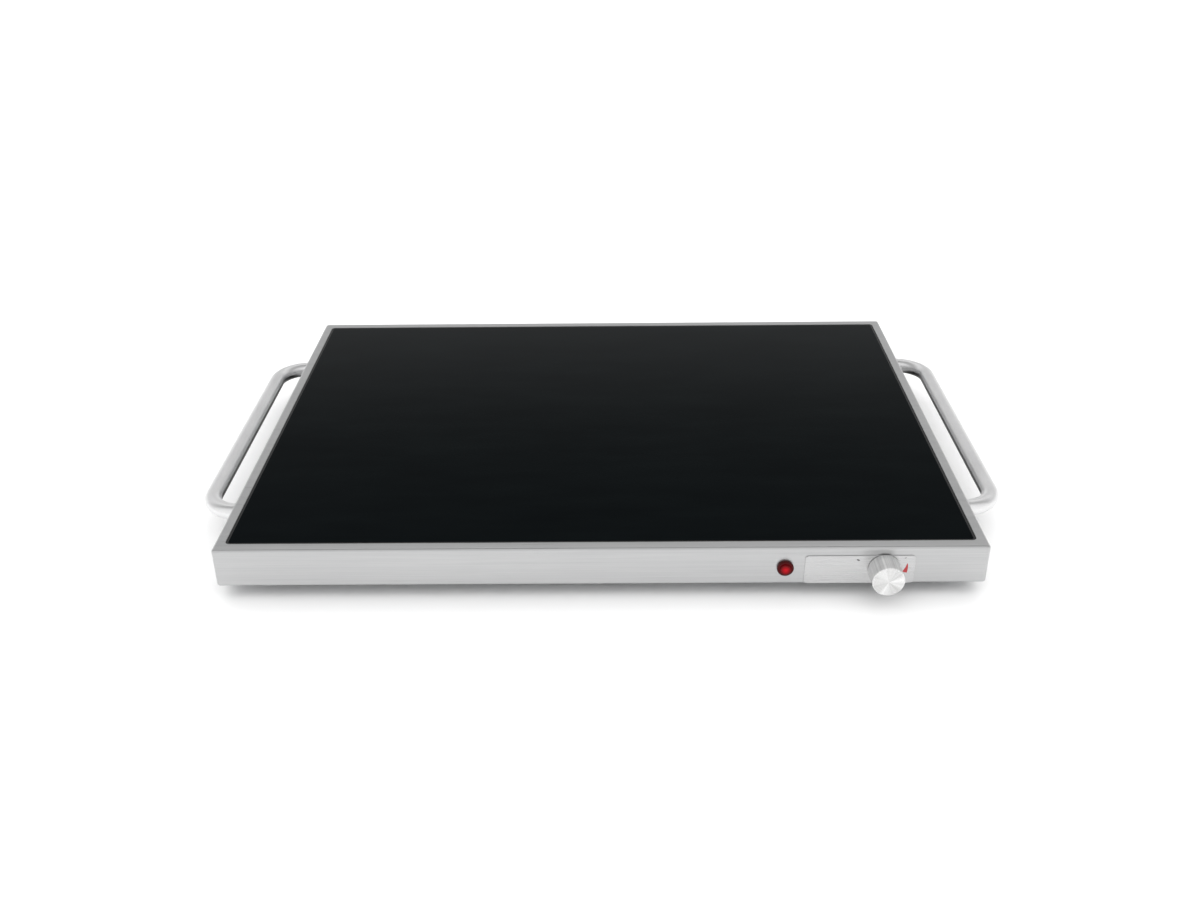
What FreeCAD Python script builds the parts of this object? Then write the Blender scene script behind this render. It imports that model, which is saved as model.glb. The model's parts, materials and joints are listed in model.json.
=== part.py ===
import FreeCAD, Part

import math
import os
import re

import Sketcher
from FreeCAD import Placement, Rotation, Vector

# A flat electric warming tray: a folded steel frame round a black glass plate, heated from below by
# a tubular element on an aluminium plate, with a thermostat knob and a lamp in the front apron.
# Millimetres. +X is the right side seen from the front, +Y the back and +Z up. The origin is the
# middle of the overall box, on the table under the feet.

doc = FreeCAD.newDocument("warming_tray")

SIZES = {
    # folded frame
    "tray_width": 600, "tray_depth": 450, "frame_height": 33, "sheet_gauge": 1,
    "corner_radius": 3, "bend_radius": 2.5, "fold_radius": 1.5, "return_width": 12,
    # opening in its top, with the rim in front and behind and the rim at the sides
    "end_rim": 9.5, "side_rim": 8.5, "rim_edge": 0.4, "opening_corner": 4,
    # glass plate, its bead and its ledge
    "glass_gauge": 4, "glass_drop": 0.3, "glass_edge": 0.4, "seal_width": 2,
    "seal_drop": 0.5, "ledge_reach": 12, "ledge_gauge": 1,
    # heated plate, set in from the ledge, and its posts
    "plate_side_gap": 14, "plate_end_gap": 39, "spreader_gauge": 2, "post_diameter": 8,
    "post_gap": 3,
    # tubular element, set in from the edges of the heated plate
    "tube_diameter": 6.6, "run_count": 6, "run_margin": 45, "turn_inset": 50, "tube_end_inset": 22,
    "pin_end_inset": 11, "pin_diameter": 4, "bead_step": 0.1, "bead_length": 6,
    "clip_gauge": 0.8, "clip_slack": 0.1, "clip_length": 10, "strap_gap": 6.4, "clip_inset": 135,
    # insulation
    "blanket_inset": 15, "blanket_gauge": 15, "reflector_gauge": 0.6, "reflector_lip": 2.6,
    # underside
    "base_gauge": 1, "base_inset": 3, "base_screw_inset": 8, "base_screw_end": 40,
    "base_screw_diameter": 3.5, "base_head_diameter": 6.8, "base_head_height": 2.2,
    "base_screw_length": 6, "screw_slack": 0.15, "vent_width": 4, "vent_length": 34,
    "vent_pitch": 12, "vent_count": 7, "vent_place": 110, "vent_inset": 40,
    # feet
    "foot_height": 12, "foot_top": 26, "foot_base": 22, "foot_inset": 45, "foot_web": 4.5,
    "foot_edge": 1, "foot_socket": 12, "foot_screw_diameter": 4, "foot_head_diameter": 8,
    "foot_head_height": 3, "washer_gauge": 1, "foot_washer_diameter": 11, "foot_nut_flats": 7,
    "foot_nut_height": 3.2, "foot_screw_spare": 1.6,
    # side handles
    "handle_diameter": 14, "handle_wall": 1.2, "handle_reach": 29.6, "handle_spacing": 284,
    "handle_drop": 15.5, "handle_bend": 28, "plug_length": 8.5, "plug_diameter": 8,
    "plug_rim": 1.5, "plug_slack": 0.05,
    "handle_screw_diameter": 5, "handle_screw_length": 8, "handle_head_diameter": 9.5,
    "handle_head_height": 3.2, "handle_washer_diameter": 12, "handle_screw_slack": 0.3,
    # control plate and knob, set in from the right side and down from the rim
    "panel_width": 85, "panel_height": 25, "panel_gauge": 0.8, "panel_corner": 3,
    "panel_edge": 0.25, "panel_inset": 99.5, "panel_drop": 20, "knob_inset": 80.8,
    "knob_drop": 19, "knob_diameter": 25, "knob_reach": 20, "knob_gap": 0.5, "knob_bevel": 0.8,
    "knob_recess_diameter": 19, "knob_recess_depth": 3.5, "insert_diameter": 12,
    "insert_length": 12, "pointer_width": 1, "pointer_length": 4, "pointer_depth": 0.5,
    "pointer_rest": 67.5,
    # thermostat
    "bush_diameter": 10, "bush_slack": 0.3, "bush_spare": 0.7, "bush_nut_flats": 14,
    "bush_nut_height": 2.5, "spindle_diameter": 6, "spindle_slack": 0.05, "spindle_flat": 1.5,
    "spindle_flat_length": 10, "spring_gauge": 0.35, "spring_width": 3.6, "spring_spare": 1,
    "case_width": 34, "case_height": 24, "case_length": 29, "case_front": 1.2, "case_wall": 1,
    "collar_diameter": 9, "collar_length": 1, "collar_slack": 0.2, "thread_diameter": 5,
    "thread_length": 14.6, "adjuster_width": 12, "adjuster_length": 5, "adjuster_place": 8,
    "adjuster_nose": 8, "nose_tip": 24, "nose_bottom": 2, "ceramic_length": 6,
    "spigot_length": 2, "spigot_slack": 0.1, "capsule_diameter": 18, "capsule_length": 3,
    "button_diameter": 6, "button_length": 0.7, "stem_diameter": 3, "stem_spare": 1,
    "leaf_place": 13, "leaf_gauge": 0.5, "leaf_width": 6, "leaf_length": 16,
    "contact_diameter": 3, "contact_height": 1, "tab_gauge": 0.8, "tab_width": 6.3,
    "tab_length": 8, "tab_spread": 10.5, "live_tab_drop": 6, "switched_tab_rise": 5,
    # sensing bulb and capillary
    "bulb_diameter": 5, "bulb_length": 70, "bulb_inset": 115, "capillary_diameter": 1.5,
    # safety cut-out, set in from the heated plate's rear right corner
    "cutout_side_inset": 33, "cutout_end_inset": 20, "cutout_diameter": 16, "cutout_height": 8,
    "cutout_flange": 1, "cutout_flange_width": 24, "cutout_tab_drop": 5.5,
    "cutout_tab_length": 8,
    # indicator lamp
    "lamp_inset": 157, "lamp_drop": 18.2, "lens_diameter": 13, "lens_flange": 2.6,
    "lens_edge": 0.8, "lens_shoulder": 10.4, "lens_front": 8.4, "lens_reach": 4,
    "barrel_diameter": 9.2, "barrel_length": 10, "barrel_bore": 6.8, "lens_face": 1.4,
    "lamp_hole_slack": 0.15, "lamp_body_length": 14, "lamp_stem_length": 4,
    "bulb_glass_diameter": 5, "bulb_glass_length": 6.5, "lamp_nut_diameter": 14,
    "lamp_nut_height": 2,
    # mains inlet, set in from the right side
    "inlet_inset": 100, "inlet_drop": 18, "inlet_flange": 2.5, "inlet_flange_width": 50,
    "inlet_flange_height": 22, "inlet_edge": 0.6, "inlet_body_width": 27.2,
    "inlet_body_height": 19.4, "inlet_body_length": 22, "inlet_slack": 0.1, "socket_width": 24,
    "socket_height": 16, "socket_depth": 16, "socket_corner": 3, "blade_gauge": 2,
    "blade_height": 4, "blade_recess": 2, "blade_spread": 7, "blade_offset": 2, "blade_tail": 8,
    "inlet_screw_spread": 20, "inlet_screw_diameter": 3, "inlet_head_diameter": 6,
    "inlet_screw_length": 9, "inlet_nut_flats": 5.5, "inlet_nut_height": 2.4,
    # earth stud and wiring
    "earth_offset": 40, "earth_inset": 40, "earth_stud_length": 10, "tag_gauge": 0.8,
    "tag_width": 8, "tag_length": 12, "wire_diameter": 2.2, "lead_diameter": 1.6,
    "wire_bend": 6, "joint_gap": 0.1, "wire_lane": 8,
}

sheet = doc.addObject("Spreadsheet::Sheet", "sizes")
for row, (alias, size) in enumerate(SIZES.items(), start=1):
    sheet.set(f"A{row}", alias)
    sheet.set(f"B{row}", str(size))
    sheet.setAlias(f"B{row}", alias)
doc.recompute()

# Places worked out from the sizes. Heights are above the table.
WORKED = {
    "tray_middle": "(knob_reach - inlet_flange) / 2",
    "front_face": "tray_middle - tray_depth / 2",
    "rear_face": "tray_middle + tray_depth / 2",
    "side_face": "tray_width / 2",
    "frame_bottom": "foot_height + base_gauge",
    "rim_top": "frame_bottom + frame_height",
    "opening_width": "tray_width - 2 * side_rim",
    "opening_depth": "tray_depth - 2 * end_rim",
    "glass_width": "opening_width - 2 * seal_width",
    "glass_depth": "opening_depth - 2 * seal_width",
    "glass_corner": "opening_corner - seal_width",
    "glass_under": "rim_top - glass_drop - glass_gauge",
    "plate_width": "opening_width - 2 * ledge_reach - 2 * plate_side_gap",
    "plate_depth": "opening_depth - 2 * ledge_reach - 2 * plate_end_gap",
    "plate_under": "glass_under - spreader_gauge",
    "tube_height": "plate_under - tube_diameter / 2",
    "run_pitch": "(plate_depth - 2 * run_margin) / (run_count - 1)",
    "first_run": "tray_middle - plate_depth / 2 + run_margin",
    "last_run": "tray_middle + plate_depth / 2 - run_margin",
    "turn_place": "plate_width / 2 - turn_inset",
    "tube_end": "plate_width / 2 - tube_end_inset",
    "pin_end": "plate_width / 2 - pin_end_inset",
    "clip_place": "plate_width / 2 - clip_inset",
    "bead_diameter": "tube_diameter - 2 * bead_step",
    "element_strap": "tube_diameter / 2 + clip_slack + clip_gauge",
    "bulb_strap": "bulb_diameter / 2 + clip_slack + clip_gauge",
    "clip_foot": "(run_pitch / 2 - element_strap - bulb_strap - strap_gap) / 2",
    "sensor_row": "first_run + run_pitch / 2",
    "bulb_end": "plate_width / 2 - bulb_inset",
    "bulb_height": "plate_under - bulb_diameter / 2",
    "blanket_width": "plate_width - 2 * blanket_inset",
    "blanket_depth": "plate_depth - 2 * blanket_inset",
    "blanket_top": "frame_bottom + blanket_gauge",
    "under_tube": "(blanket_top + reflector_lip + plate_under - tube_diameter) / 2",
    "post_x": "blanket_width / 2 + post_gap + post_diameter / 2",
    "post_y": "blanket_depth / 2 + post_gap + post_diameter / 2",
    "foot_x": "side_face - foot_inset",
    "foot_y": "tray_depth / 2 - foot_inset",
    "handle_height": "rim_top - handle_drop",
    "handle_bar": "side_face + handle_reach",
    "panel_place": "side_face - panel_inset",
    "knob_place": "side_face - knob_inset",
    "knob_height": "rim_top - knob_drop",
    "knob_back": "panel_gauge + knob_gap",
    "bush_top": "panel_gauge + bush_nut_height + bush_spare",
    "bush_hole": "bush_diameter + 2 * bush_slack",
    "insert_back": "knob_back + knob_recess_depth",
    "collar_front": "sheet_gauge + case_front + collar_slack",
    "case_back": "sheet_gauge + case_length",
    "ceramic_back": "case_back + ceramic_length",
    "ceramic_front": "case_back - spigot_length",
    "tab_back": "ceramic_back + tab_length",
    "stem_back": "ceramic_back + stem_spare",
    "cutout_x": "plate_width / 2 - cutout_side_inset",
    "cutout_y": "tray_middle + plate_depth / 2 - cutout_end_inset",
    "cutout_tab_height": "plate_under - cutout_tab_drop",
    "lamp_place": "side_face - lamp_inset",
    "lamp_height": "rim_top - lamp_drop",
    "lamp_back": "barrel_length + lamp_body_length",
    "inlet_place": "side_face - inlet_inset",
    "inlet_height": "rim_top - inlet_drop",
    "inlet_head_depth": "(inlet_head_diameter - inlet_screw_diameter) / 2",
    "earth_place": "inlet_place - earth_offset",
    "earth_y": "rear_face - earth_inset",
}

NAME = re.compile(r"[A-Za-z_][A-Za-z_0-9]*")


def spell_out(text):
    """Turn a size written in names into an expression on the sheet's cells."""
    def swap(match):
        name = match.group(0)
        if name in WORKED:
            return f"({spell_out(WORKED[name])})"
        return f"sizes.{name}"
    return NAME.sub(swap, str(text))


def number(text):
    """The value of a size in millimetres or degrees."""
    return float(sheet.evalExpression(spell_out(text)))


def spot(x, y, z):
    """A point from three written sizes."""
    return Vector(number(x), number(y), number(z))


def bind(thing, **sizes):
    """Tie properties of an object to the sheet."""
    for name, text in sizes.items():
        thing.setExpression(name, spell_out(text))
    return thing


# Each facing turns a piece built with +Z outwards, so that it looks out of that side of the tray.
FACING = {
    "up": Rotation(),
    "down": Rotation(Vector(1, 0, 0), 180),
    "front": Rotation(Vector(1, 0, 0), 90),
    "rear": Rotation(Vector(0, 1, 1), 180),
    "right": Rotation(Vector(0, 1, 0), 90),
    "left": Rotation(Vector(0, 1, 0), -90),
}


def place(thing, x=0, y=0, z=0, facing="up", turn=0):
    """Set a piece at a point, facing one way, turned about its own axis by a written angle."""
    spin = Rotation(Vector(0, 0, 1), number(turn))
    thing.Placement = Placement(Vector(), FACING[facing] * spin)
    for axis, text in zip("xyz", (x, y, z)):
        thing.setExpression(f"Placement.Base.{axis}", spell_out(text))
    return thing


def block(width, depth, height, x=0, y=0, z=0):
    """A box centred on x and y that stands on z."""
    thing = bind(doc.addObject("Part::Box", "block"), Length=width, Width=depth, Height=height)
    return place(thing, f"{x} - ({width}) / 2", f"{y} - ({depth}) / 2", z)


def rod(diameter, length, x=0, y=0, z=0, facing="up"):
    """A round bar that starts at a point and runs the way it faces."""
    thing = bind(doc.addObject("Part::Cylinder", "rod"), Radius=f"({diameter}) / 2", Height=length)
    return place(thing, x, y, z, facing)


def taper(lower, upper, height, x=0, y=0, z=0):
    """A cone between two diameters."""
    thing = doc.addObject("Part::Cone", "taper")
    bind(thing, Radius1=f"({lower}) / 2", Radius2=f"({upper}) / 2", Height=height)
    return place(thing, x, y, z)


def hexagon(flats, height, x=0, y=0, z=0):
    """A hexagonal bar measured across its flats."""
    thing = doc.addObject("Part::Prism", "hexagon")
    thing.Polygon = 6
    bind(thing, Circumradius=f"({flats}) / (2 * {math.cos(math.pi / 6):.9f})", Height=height)
    return place(thing, x, y, z)


def join(*pieces):
    """One solid from several that touch."""
    thing = doc.addObject("Part::MultiFuse", "joined")
    thing.Shapes = list(pieces)
    return thing


def cut(base, *tools):
    """A solid with one or more others taken out of it."""
    for tool in tools:
        thing = doc.addObject("Part::Cut", "cut")
        thing.Base = base
        thing.Tool = tool
        base = thing
    return base


def rounded(base, radius, chosen):
    """A solid with the edges that a test picks rounded off."""
    doc.recompute()
    size = number(radius)
    thing = doc.addObject("Part::Fillet", "rounded")
    thing.Base = base
    edges = enumerate(base.Shape.Edges, start=1)
    thing.Edges = [(place_in_list, size, size) for place_in_list, edge in edges if chosen(edge)]
    return thing


def upright(edge):
    """Whether an edge is straight and runs along Z."""
    return isinstance(edge.Curve, Part.Line) and abs(edge.tangentAt(edge.FirstParameter).z) > 0.999


def level(height):
    """A test for edges that lie wholly at one height."""
    wanted = number(height)

    def chosen(edge):
        box = edge.BoundBox
        return abs(box.ZMin - wanted) < 1e-4 and abs(box.ZMax - wanted) < 1e-4
    return chosen


def slab(width, depth, height, corner, x=0, y=0, z=0):
    """A flat plate with rounded corners."""
    return rounded(block(width, depth, height, x, y, z), corner, upright)


SUB_PARTS = []


def sub_part(thing, label, x=0, y=0, z=0, facing="up", turn=0):
    """Name a finished piece, put it in its place and keep it for writing out."""
    thing.Label = label
    SUB_PARTS.append(place(thing, x, y, z, facing, turn))
    return thing


def alone(piece):
    """One piece kept where it lies, so that what holds it can be placed as a whole."""
    thing = doc.addObject("Part::Compound", "piece")
    thing.Links = [piece]
    return thing


def group(pieces, label):
    """Name a set of like pieces that share one file."""
    thing = doc.addObject("Part::Compound", label)
    thing.Links = pieces
    return sub_part(thing, label)


# Folded sheet body: helpers for sketches that are padded and pocketed.

def origin_plane(body, role):
    """One of a body's own origin planes."""
    return next(part for part in body.Origin.OriginFeatures if part.Role == role)


def sketch_on(body, role, x=0, y=0, out=0):
    """An empty sketch on an origin plane, its middle and its height set by written sizes."""
    sketch = body.newObject("Sketcher::SketchObject", "sketch")
    sketch.AttachmentSupport = (origin_plane(body, role), [""])
    sketch.MapMode = "FlatFace"
    for axis, text in zip("xyz", (x, y, out)):
        sketch.setExpression(f"AttachmentOffset.Base.{axis}", spell_out(text))
    return sketch


def draw_rectangle(sketch, width, depth):
    """A rectangle centred on the sketch's middle, with its two sizes tied to the sheet."""
    half_x = number(width) / 2
    half_y = number(depth) / 2
    corners = [Vector(-half_x, -half_y, 0), Vector(half_x, -half_y, 0),
               Vector(half_x, half_y, 0), Vector(-half_x, half_y, 0)]
    first = sketch.GeometryCount
    for start, end in zip(corners, corners[1:] + corners[:1]):
        sketch.addGeometry(Part.LineSegment(start, end))
    for side in range(4):
        following = first + (side + 1) % 4
        sketch.addConstraint(Sketcher.Constraint("Coincident", first + side, 2, following, 1))
        direction = "Vertical" if side % 2 else "Horizontal"
        sketch.addConstraint(Sketcher.Constraint(direction, first + side))
    sketch.addConstraint(Sketcher.Constraint("Symmetric", first, 1, first + 2, 1, -1, 1))
    across = sketch.addConstraint(Sketcher.Constraint("DistanceX", first, 1, first, 2, 2 * half_x))
    along = Sketcher.Constraint("DistanceY", first + 1, 1, first + 1, 2, 2 * half_y)
    upward = sketch.addConstraint(along)
    sketch.setExpression(f"Constraints[{across}]", spell_out(width))
    sketch.setExpression(f"Constraints[{upward}]", spell_out(depth))
    return sketch


def draw_circle(sketch, diameter):
    """A circle on the sketch's middle."""
    radius = number(diameter) / 2
    ring = sketch.addGeometry(Part.Circle(Vector(), Vector(0, 0, 1), radius))
    sketch.addConstraint(Sketcher.Constraint("Coincident", ring, 3, -1, 1))
    size = sketch.addConstraint(Sketcher.Constraint("Diameter", ring, 2 * radius))
    sketch.setExpression(f"Constraints[{size}]", spell_out(diameter))
    return sketch


def pad(body, sketch, length):
    """Grow a body from a sketch."""
    feature = body.newObject("PartDesign::Pad", "pad")
    feature.Profile = sketch
    bind(feature, Length=length)
    doc.recompute()
    return feature


def pocket(body, sketch, length, backwards=False):
    """Cut a body by a sketch and make sure that something came away."""
    before = body.Shape.Volume
    feature = body.newObject("PartDesign::Pocket", "pocket")
    feature.Profile = sketch
    feature.Reversed = backwards
    bind(feature, Length=length)
    doc.recompute()
    if body.Shape.Volume > before - 1e-3:
        raise ValueError(f"{body.Label}: a pocket removed nothing")
    return feature


def soften(body, radius, chosen):
    """Round the edges of a body that a test picks."""
    return dress(body, "PartDesign::Fillet", "Radius", radius, chosen)


def dress(body, kind, property_name, size, chosen):
    """Add a fillet or a chamfer along the edges that a test picks."""
    solid = body.Tip
    names = [f"Edge{n}" for n, edge in enumerate(solid.Shape.Edges, start=1) if chosen(edge)]
    feature = body.newObject(kind, "edge")
    feature.Base = (solid, names)
    bind(feature, **{property_name: size})
    doc.recompute()
    if "Invalid" in feature.State:
        raise ValueError(f"{body.Label}: {len(names)} edges could not be softened")
    return feature


def new_body(label):
    """An empty body."""
    return doc.addObject("PartDesign::Body", label)


def within(width, depth):
    """A test for edges whose middle lies in a rectangle round the body's own middle."""
    half_x = number(width) / 2 + 0.01
    half_y = number(depth) / 2 + 0.01

    def chosen(edge):
        middle = edge.CenterOfMass
        return abs(middle.x) < half_x and abs(middle.y) < half_y
    return chosen


def four_corners(x, y):
    """The four sign pairs of a place, as written sizes about the tray's middle."""
    return [(f"{a} * ({x})", f"tray_middle + {b} * ({y})") for a in (-1, 1) for b in (-1, 1)]


# Housing frame: one folded and welded sheet, open in the middle of the top, with a flange turned in
# round the bottom edge. Its own origin is the middle of the bottom edge.

def make_housing_frame():
    body = new_body("housing_frame")
    pad(body, draw_rectangle(sketch_on(body, "XY_Plane"), "tray_width", "tray_depth"),
        "frame_height")
    soften(body, "corner_radius", upright)
    soften(body, "bend_radius", level("frame_height"))
    hollow_out(body, "sheet_gauge")
    opening = draw_rectangle(sketch_on(body, "XY_Plane", out="frame_height"),
                             "opening_width", "opening_depth")
    pocket(body, opening, "2 * sheet_gauge")
    in_opening = within("opening_width", "opening_depth")
    at_top = level("frame_height")
    soften(body, "opening_corner", lambda edge: upright(edge) and in_opening(edge))
    soften(body, "rim_edge", lambda edge: at_top(edge) and in_opening(edge))
    add_return_flange(body)
    cut_front_holes(body)
    cut_side_holes(body)
    cut_rear_holes(body)
    cut_flange_holes(body)
    sub_part(body, "housing_frame", 0, "tray_middle", "frame_bottom")


def hollow_out(body, gauge):
    """Leave only a sheet of one gauge, open at the bottom."""
    solid = body.Tip
    faces = [f"Face{n}" for n, face in enumerate(solid.Shape.Faces, start=1)
             if face.BoundBox.ZMax < 1e-4]
    shell = body.newObject("PartDesign::Thickness", "shell")
    shell.Base = (solid, faces)
    shell.Reversed = True
    bind(shell, Value=gauge)
    doc.recompute()
    if body.Shape.Volume > solid.Shape.Volume / 2:
        raise ValueError(f"{body.Label}: the shell was not hollowed")


def add_return_flange(body):
    """Turn the bottom edge in all round, with a rounded fold."""
    ring = draw_rectangle(sketch_on(body, "XY_Plane"), "tray_width - 2 * sheet_gauge",
                          "tray_depth - 2 * sheet_gauge")
    inner_size = ("tray_width - 2 * return_width", "tray_depth - 2 * return_width")
    draw_rectangle(ring, *inner_size)
    pad(body, ring, "sheet_gauge")
    at_bottom = level(0)
    in_ring = within(*inner_size)
    soften(body, "fold_radius", lambda edge: at_bottom(edge) and not in_ring(edge))


def cut_front_holes(body):
    """Holes for the thermostat's bush and the lamp."""
    out = "tray_depth / 2"
    bush = sketch_on(body, "XZ_Plane", "knob_place", "knob_height - frame_bottom", out)
    pocket(body, draw_circle(bush, "bush_hole"), "2 * sheet_gauge")
    lamp = sketch_on(body, "XZ_Plane", "lamp_place", "lamp_height - frame_bottom", out)
    pocket(body, draw_circle(lamp, "barrel_diameter + 2 * lamp_hole_slack"), "2 * sheet_gauge")


def cut_side_holes(body):
    """Two screw holes for a handle in each side."""
    height = "handle_height - frame_bottom"
    diameter = "handle_screw_diameter + 2 * handle_screw_slack"
    for end in (-1, 1):
        for side in (-1, 1):
            hole = sketch_on(body, "YZ_Plane", f"{end} * handle_spacing / 2", height,
                             f"{side} * side_face")
            pocket(body, draw_circle(hole, diameter), "2 * sheet_gauge", backwards=side < 0)


def cut_rear_holes(body):
    """The cut-out for the mains inlet and its two screw holes."""
    height = "inlet_height - frame_bottom"
    out = "-tray_depth / 2"
    socket = draw_rectangle(sketch_on(body, "XZ_Plane", "inlet_place", height, out),
                            "inlet_body_width + 2 * inlet_slack",
                            "inlet_body_height + 2 * inlet_slack")
    pocket(body, socket, "2 * sheet_gauge", backwards=True)
    for side in (-1, 1):
        hole = sketch_on(body, "XZ_Plane", f"inlet_place + {side} * inlet_screw_spread", height, out)
        diameter = "inlet_screw_diameter + 2 * screw_slack"
        pocket(body, draw_circle(hole, diameter), "2 * sheet_gauge", backwards=True)


def base_screw_places():
    """Where the base plate is screwed to the flange, about the tray's middle."""
    across = "tray_depth / 2 - base_screw_inset"
    rows = [(f"{column} * (side_face - base_screw_end)", f"{row} * ({across})")
            for row in (-1, 1) for column in (-1, 0, 1)]
    return rows + [(f"{side} * (side_face - base_screw_inset)", "0") for side in (-1, 1)]


def cut_flange_holes(body):
    """Clearance holes for the base screws."""
    for x, y in base_screw_places():
        hole = sketch_on(body, "XY_Plane", x, y)
        diameter = "base_screw_diameter + 2 * screw_slack"
        pocket(body, draw_circle(hole, diameter), "sheet_gauge", backwards=True)


make_housing_frame()


# Glass plate, the silicone bead round it and the ledge that carries it under the rim.

glass = rounded(slab("glass_width", "glass_depth", "glass_gauge", "glass_corner"), "glass_edge",
                level("glass_gauge"))
sub_part(glass, "glass_top", 0, "tray_middle", "glass_under")

seal_height = "rim_top - seal_drop - glass_under"
seal = cut(slab("opening_width", "opening_depth", seal_height, "opening_corner"),
           slab("glass_width", "glass_depth", seal_height, "glass_corner"))
sub_part(seal, "glass_seal", 0, "tray_middle", "glass_under")

ledge_height = "rim_top - sheet_gauge - glass_under + ledge_gauge"
ledge = cut(slab("opening_width + 2 * ledge_gauge", "opening_depth + 2 * ledge_gauge",
                 ledge_height, "opening_corner + ledge_gauge"),
            slab("opening_width", "opening_depth", ledge_height, "opening_corner",
                 z="ledge_gauge"),
            slab("opening_width - 2 * ledge_reach", "opening_depth - 2 * ledge_reach",
                 ledge_height, "opening_corner"))
sub_part(ledge, "glass_ledge", 0, "tray_middle", "glass_under - ledge_gauge")


# Heated plate and the posts that hold it up against the glass.

spreader = slab("plate_width", "plate_depth", "spreader_gauge", "opening_corner")
sub_part(spreader, "heat_spreader_plate", 0, "tray_middle", "plate_under")

post_length = "plate_under - frame_bottom"
group([rod("post_diameter", post_length, x, y, "frame_bottom")
       for x, y in four_corners("post_x", "post_y")], "plate_support_posts")


# Tubular element: straight runs joined by half-turns, both ends on the right.

def serpentine():
    """The line of the element's tube, from the front end to the rear one."""
    height = number("tube_height")
    reach = number("turn_place")
    pitch = number("run_pitch")
    first = number("first_run")
    count = int(number("run_count"))
    end = number("tube_end")
    edges = []
    for run in range(count):
        y = first + run * pitch
        heading = -1 if run % 2 == 0 else 1
        start_x = end if run == 0 else -heading * reach
        stop_x = end if run == count - 1 else heading * reach
        stop = Vector(stop_x, y, height)
        edges.append(Part.LineSegment(Vector(start_x, y, height), stop).toShape())
        if run < count - 1:
            crown = Vector(stop_x + heading * pitch / 2, y + pitch / 2, height)
            following = Vector(stop_x, y + pitch, height)
            edges.append(Part.Arc(stop, crown, following).toShape())
    return Part.Wire(edges)


def tube_along(path, diameter, label):
    """A round solid along a line of straight runs and arcs."""
    first_edge = path.OrderedEdges[0]
    start = path.OrderedVertexes[0].Point
    heading = first_edge.tangentAt(first_edge.FirstParameter)
    if (first_edge.valueAt(first_edge.FirstParameter) - start).Length > 1e-6:
        heading = first_edge.tangentAt(first_edge.LastParameter).negative()
    ring = Part.Wire(Part.Circle(start, heading, diameter / 2).toShape())
    solid = path.makePipeShell([ring], True, False)
    wanted = math.pi * diameter ** 2 / 4 * path.Length
    if abs(solid.Volume / wanted - 1) > 0.02:
        raise ValueError(f"{label}: the tube's volume is {solid.Volume:.0f}, not {wanted:.0f}")
    thing = doc.addObject("Part::Feature", label)
    thing.Shape = solid
    return thing


sub_part(tube_along(serpentine(), number("tube_diameter"), "element"), "heating_element")

element_ends = ["first_run", "last_run"]
group([cut(rod("bead_diameter", "bead_length", "tube_end", y, "tube_height", "right"),
           rod("pin_diameter", "bead_length", "tube_end", y, "tube_height", "right"))
       for y in element_ends], "element_end_beads")
group([rod("pin_diameter", "pin_end - tube_end", "tube_end", y, "tube_height", "right")
       for y in element_ends], "element_terminal_pins")


def saddle(diameter, x, y):
    """A sheet strap that holds a tube up against the heated plate."""
    inner = f"({diameter} + 2 * clip_slack)"
    outer = f"({inner} + 2 * clip_gauge)"
    centre = f"(plate_under - {diameter} / 2)"
    rise = f"(plate_under - {centre})"
    start = f"{x} - clip_length / 2"
    foot_span = f"({outer} + 2 * clip_foot)"
    strap = join(rod(outer, "clip_length", start, y, centre, "right"),
                 block("clip_length", outer, rise, x, y, centre),
                 block("clip_length", foot_span, "clip_gauge", x, y, "plate_under - clip_gauge"))
    return cut(strap, rod(inner, "clip_length", start, y, centre, "right"),
               block("clip_length", inner, rise, x, y, centre),
               block("clip_length", outer, rise, x, y, "plate_under"))


run_rows = [f"(first_run + {run} * run_pitch)" for run in range(int(number("run_count")))]
group([saddle("tube_diameter", f"{side} * clip_place", y) for y in run_rows for side in (-1, 1)],
      "element_clips")


# Thermostat bulb under the plate, between the first two runs, and its two straps.

bulb_start = "(bulb_end - bulb_length)"
bulb = rounded(rod("bulb_diameter", "bulb_length"), "bulb_diameter / 2.2",
               lambda edge: isinstance(edge.Curve, Part.Circle))
sub_part(bulb, "sensing_bulb", bulb_start, "sensor_row", "bulb_height", "right")
group([saddle("bulb_diameter", f"{bulb_start} + {share} * bulb_length", "sensor_row")
       for share in (0.25, 0.75)], "bulb_clips")


# Mineral-wool blanket on the base plate and the bright reflector on top of it.

blanket = slab("blanket_width", "blanket_depth", "blanket_gauge", "opening_corner")
sub_part(blanket, "insulation_blanket", 0, "tray_middle", "frame_bottom")

reflector = cut(slab("blanket_width", "blanket_depth", "reflector_lip", "opening_corner"),
                slab("blanket_width - 2 * reflector_gauge", "blanket_depth - 2 * reflector_gauge",
                     "reflector_lip", "opening_corner - reflector_gauge", z="reflector_gauge"))
sub_part(reflector, "reflector_tray", 0, "tray_middle", "blanket_top")


# Base plate: a flat sheet under the flange, with slots to let cool air in below the controls and a
# stud welded on for the earth wire.

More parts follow.
